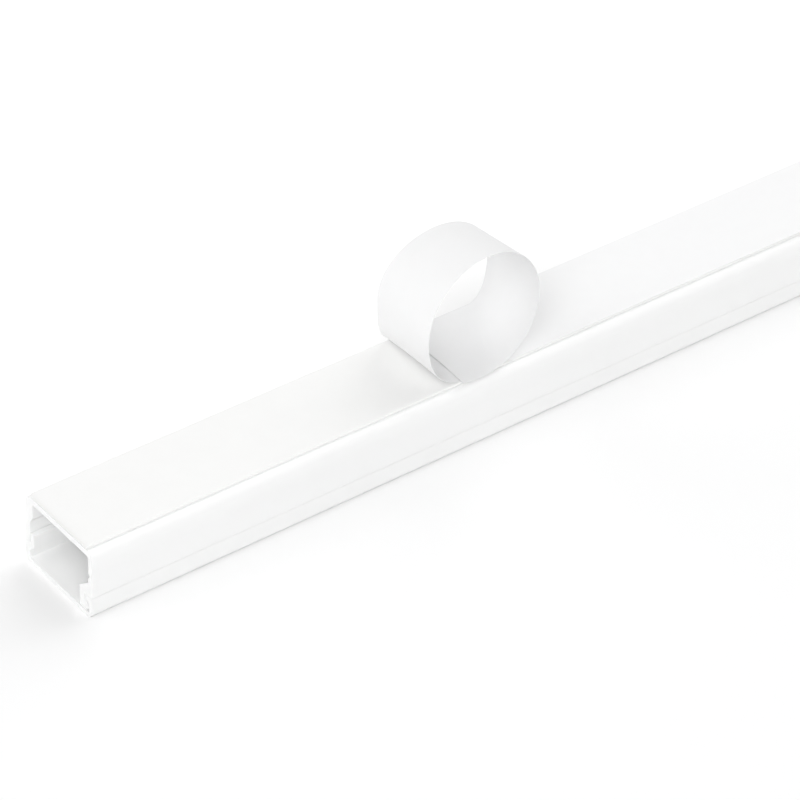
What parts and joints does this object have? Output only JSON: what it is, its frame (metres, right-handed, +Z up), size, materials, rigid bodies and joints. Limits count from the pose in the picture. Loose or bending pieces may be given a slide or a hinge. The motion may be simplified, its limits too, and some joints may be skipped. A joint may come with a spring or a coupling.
{
  "type": "cord cover raceway",
  "caption": "Straight white PVC cord cover raceway: U-shaped base, clip-on cover and foam mounting tape with its release liner partly peeled back in a curl.",
  "frame": {"origin": "middle of the cover's flat face, on the floor it lies on", "axes": "+X along the stock from its open near end to its far end, +Y across it, +Z up, from the cover to the adhesive back"},
  "size_m": [0.4, 0.025, 0.0508],
  "materials": {
    "base_pvc": "satin extruded white PVC",
    "cover_pvc": "satin extruded white PVC",
    "tape_foam": "white closed-cell foam with a tacky adhesive face",
    "liner_paper": "white silicone-coated release liner"
  },
  "bodies": {
    "base": {"base_channel": "base_pvc", "foam_tape": "tape_foam", "release_liner": "liner_paper"},
    "cover": {"snap_cover": "cover_pvc"}
  },
  "joints": [
    {"name": "cover_slide", "type": "slide", "parent": "base", "child": "cover", "axis": [1, 0, 0], "range_m": [-0.38, 0.38]}
  ]
}
